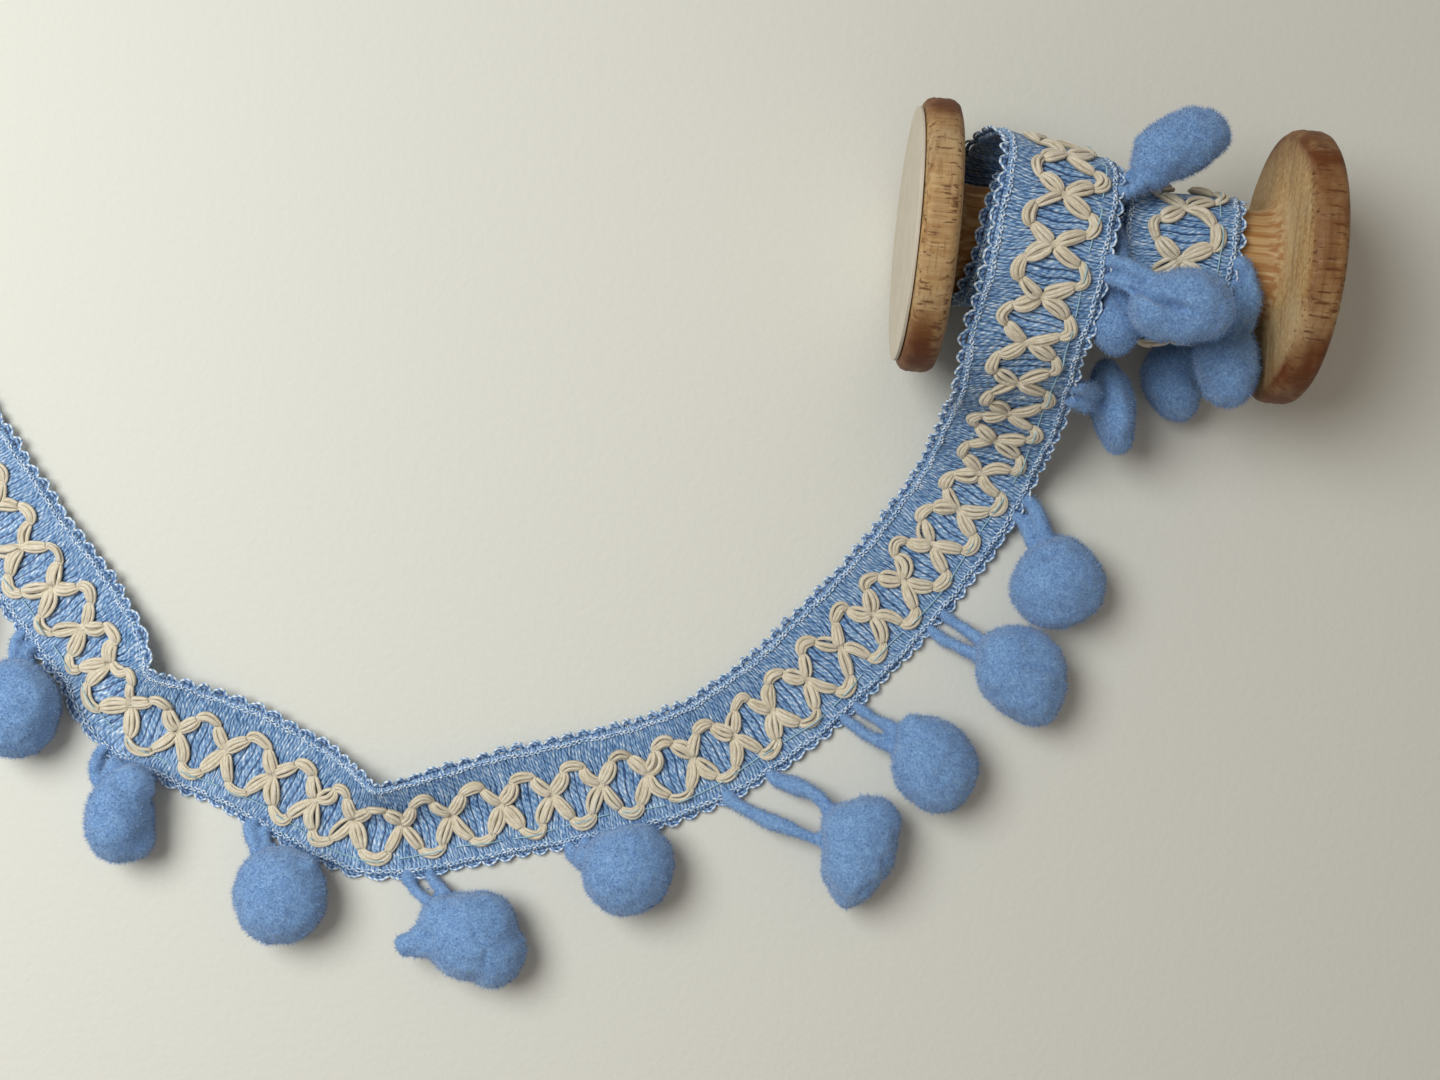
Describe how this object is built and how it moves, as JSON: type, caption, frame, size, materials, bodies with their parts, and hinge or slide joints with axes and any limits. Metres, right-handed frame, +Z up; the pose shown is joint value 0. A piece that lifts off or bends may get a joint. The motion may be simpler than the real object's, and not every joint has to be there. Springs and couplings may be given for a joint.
{
  "type": "pompom fringe trim on a wooden spool",
  "caption": "Woven braid with two cream zigzag yarns and felt pompoms along one edge, wound on a turned wooden spool with its loose end laid out in a wide bend.",
  "frame": {"origin": "middle of the whole object's box, at the height of the table it lies on", "axes": "+X to the right of the picture, from the loose end towards the spool; +Y towards the picture's top; +Z up off the table"},
  "size_m": [0.2606, 0.1592, 0.0473],
  "materials": {
    "turned_wood": "satin, turned, toasted rims",
    "grey_white_paper": "matt, blank",
    "blue_rayon_braid": "satin weft, woven",
    "cream_cotton": "matt three-ply yarn",
    "cornflower_blue_felt": "matt felt with a fine fuzz"
  },
  "bodies": {
    "root": {"spool": "turned_wood", "paper_disc": "grey_white_paper", "braid": "blue_rayon_braid", "cream_yarn_under": "cream_cotton", "cream_yarn_over": "cream_cotton", "pompom_01": "cornflower_blue_felt", "pompom_02": "cornflower_blue_felt", "pompom_03": "cornflower_blue_felt", "pompom_04": "cornflower_blue_felt", "pompom_05": "cornflower_blue_felt", "pompom_06": "cornflower_blue_felt", "pompom_07": "cornflower_blue_felt", "pompom_08": "cornflower_blue_felt", "pompom_09": "cornflower_blue_felt", "pompom_10": "cornflower_blue_felt", "pompom_11": "cornflower_blue_felt", "pompom_12": "cornflower_blue_felt", "pompom_13": "cornflower_blue_felt", "pompom_14": "cornflower_blue_felt", "pompom_15": "cornflower_blue_felt", "pompom_16": "cornflower_blue_felt", "pompom_17": "cornflower_blue_felt", "pompom_18": "cornflower_blue_felt"}
  },
  "joints": []
}
